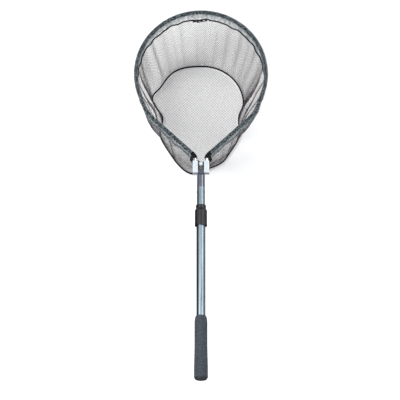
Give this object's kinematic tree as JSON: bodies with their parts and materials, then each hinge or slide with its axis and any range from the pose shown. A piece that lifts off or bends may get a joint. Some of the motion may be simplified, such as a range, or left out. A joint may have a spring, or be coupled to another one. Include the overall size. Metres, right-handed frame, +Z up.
{
  "type": "landing net",
  "caption": "Landing net with a pear-shaped folding hoop, a deep netting bag with a flat base, and a twist-lock telescopic handle with a foam grip.",
  "frame": {"origin": "centre of the flat butt face, on the handle's axis", "axes": "+Y along the handle towards the hoop, +X to the right across the hoop, +Z up, away from the hanging bag"},
  "size_m": [0.4006, 1.1543, 0.3422],
  "materials": {
    "tube_aluminium": "satin anodised, pale blue-grey",
    "grip_foam": "closed-cell foam, dark slate",
    "butt_rubber": "matt moulded rubber",
    "bush_plastic": "moulded nylon, black",
    "clamp_plastic": "moulded acetal, natural",
    "seal_rubber": "nitrile rubber",
    "collar_plastic": "moulded nylon, charcoal, fine texture",
    "guide_plastic": "moulded acetal, natural",
    "head_casting": "slate-grey enamel on die-cast aluminium, glossy",
    "trim_plastic": "moulded, black",
    "rivet_aluminium": "plain",
    "button_chrome": "bright nickel plate",
    "block_casting": "pale silver enamel on die-cast aluminium",
    "screw_steel": "zinc plated",
    "pin_steel": "stainless, turned",
    "spring_steel": "spring steel",
    "washer_nylon": "black nylon",
    "hoop_aluminium": "bright drawn aluminium",
    "sleeve_mesh": "doubled knotless mesh, bluish dark grey",
    "patch_fabric": "woven polyester, black",
    "black_cord": "braided polyester cord, black",
    "net_mesh": "fine knotless netting, thin dark twine"
  },
  "bodies": {
    "handle": {"outer_tube": "tube_aluminium", "foam_grip": "grip_foam", "butt_cap": "butt_rubber", "collet_body": "bush_plastic", "clamp_ring": "clamp_plastic", "collar_seal": "seal_rubber"},
    "collar": {"lock_collar": "collar_plastic"},
    "pole": {"inner_tube": "tube_aluminium", "guide_bush": "guide_plastic", "hinge_head": "head_casting", "head_cap": "trim_plastic", "head_rivets": "rivet_aluminium"},
    "button": {"lock_button": "button_chrome", "button_insert": "trim_plastic", "lock_plunger": "pin_steel", "button_spring": "spring_steel"},
    "net_head": {"yoke_crossbar": "block_casting", "yoke_block_left": "block_casting", "yoke_block_right": "block_casting", "yoke_stop": "block_casting", "yoke_screws": "screw_steel", "hinge_pin": "pin_steel", "pin_clip": "spring_steel", "hinge_washers": "washer_nylon", "hoop_tube": "hoop_aluminium", "hoop_screws": "screw_steel", "net_sleeve": "sleeve_mesh", "sleeve_patch_left": "patch_fabric", "sleeve_patch_right": "patch_fabric", "seam_cord": "black_cord", "net_wall": "net_mesh", "base_piping": "black_cord", "net_base": "net_mesh"}
  },
  "joints": [
    {"name": "collar_twist", "type": "hinge", "parent": "handle", "child": "collar", "pos_m": [0, 0.509, 0], "axis": [0, 1, 0], "range_deg": [0, 120]},
    {"name": "pole_slide", "type": "slide", "parent": "handle", "child": "pole", "axis": [0, 1, 0], "range_m": [0, 0.36]},
    {"name": "button_press", "type": "slide", "parent": "pole", "child": "button", "axis": [0, 0, -1], "range_m": [0, 0.0025], "stiffness_N_per_m": 400, "springref_m": -0.001, "deforming": ["button_spring"]},
    {"name": "head_fold", "type": "hinge", "parent": "pole", "child": "net_head", "pos_m": [0, 0.668, 0.008], "axis": [1, 0, 0], "range_deg": [0, 178]}
  ]
}
